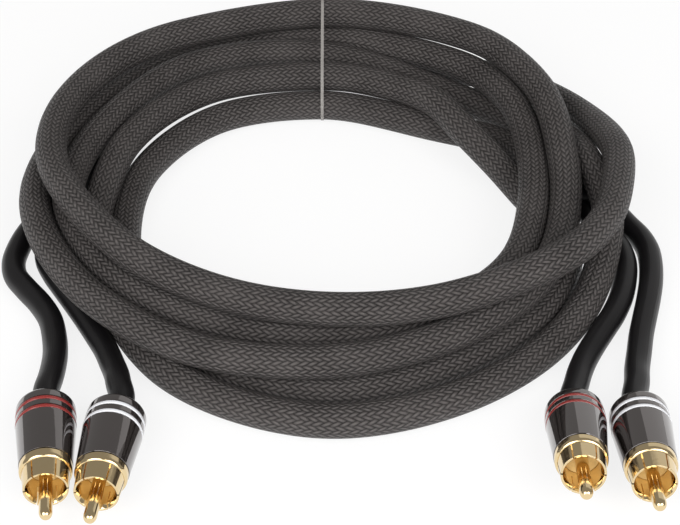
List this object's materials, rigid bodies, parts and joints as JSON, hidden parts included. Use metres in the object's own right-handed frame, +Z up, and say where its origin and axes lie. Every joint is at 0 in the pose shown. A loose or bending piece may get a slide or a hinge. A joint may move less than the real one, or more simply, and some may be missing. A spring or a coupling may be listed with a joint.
{
  "type": "phono audio cable",
  "caption": "Coiled, tied stereo audio cable: a thick braided trunk that splits at each end into smooth black legs with gold phono plugs in black barrels.",
  "frame": {"origin": "on the surface that the cable lies on, in the middle of the footprint of the plugs, the splitters and the tie", "axes": "+Z up, the plugs point to the front along -Y, +X to the right when seen from the plugs"},
  "size_m": [0.1799, 0.2046, 0.0256],
  "materials": {
    "barrel_black": "gloss black lacquer on turned metal",
    "gold_plate": "bright gold plating",
    "marker_red": "red gloss enamel ring",
    "marker_white": "white gloss enamel ring",
    "phenolic": "amber-brown phenolic",
    "clamp_brass": "plain brass strip",
    "sleeve_plastic": "thin insulating plastic",
    "core_plastic": "cable core insulation",
    "core_copper": "bare copper wire",
    "leg_jacket": "smooth, slightly glossy black vinyl",
    "trunk_braid": "black braided nylon sleeve",
    "splitter_rubber": "moulded black rubber",
    "clear_tie": "clear plastic strip"
  },
  "bodies": {
    "root": {"left_red_barrel": "barrel_black", "left_red_back_marker_ring": "marker_red", "left_red_front_marker_ring": "marker_red", "left_red_ground_collar": "gold_plate", "left_red_centre_pin": "gold_plate", "left_red_insulator": "phenolic", "left_red_ground_clamp": "clamp_brass", "left_red_insulating_sleeve": "sleeve_plastic", "left_red_core_insulation": "core_plastic", "left_red_core_wire": "core_copper", "left_red_leg": "leg_jacket", "left_white_barrel": "barrel_black", "left_white_back_marker_ring": "marker_white", "left_white_front_marker_ring": "marker_white", "left_white_ground_collar": "gold_plate", "left_white_centre_pin": "gold_plate", "left_white_insulator": "phenolic", "left_white_ground_clamp": "clamp_brass", "left_white_insulating_sleeve": "sleeve_plastic", "left_white_core_insulation": "core_plastic", "left_white_core_wire": "core_copper", "left_white_leg": "leg_jacket", "right_red_barrel": "barrel_black", "right_red_back_marker_ring": "marker_red", "right_red_front_marker_ring": "marker_red", "right_red_ground_collar": "gold_plate", "right_red_centre_pin": "gold_plate", "right_red_insulator": "phenolic", "right_red_ground_clamp": "clamp_brass", "right_red_insulating_sleeve": "sleeve_plastic", "right_red_core_insulation": "core_plastic", "right_red_core_wire": "core_copper", "right_red_leg": "leg_jacket", "right_white_barrel": "barrel_black", "right_white_back_marker_ring": "marker_white", "right_white_front_marker_ring": "marker_white", "right_white_ground_collar": "gold_plate", "right_white_centre_pin": "gold_plate", "right_white_insulator": "phenolic", "right_white_ground_clamp": "clamp_brass", "right_white_insulating_sleeve": "sleeve_plastic", "right_white_core_insulation": "core_plastic", "right_white_core_wire": "core_copper", "right_white_leg": "leg_jacket", "left_splitter": "splitter_rubber", "right_splitter": "splitter_rubber", "trunk_coil": "trunk_braid", "tie": "clear_tie"}
  },
  "joints": []
}
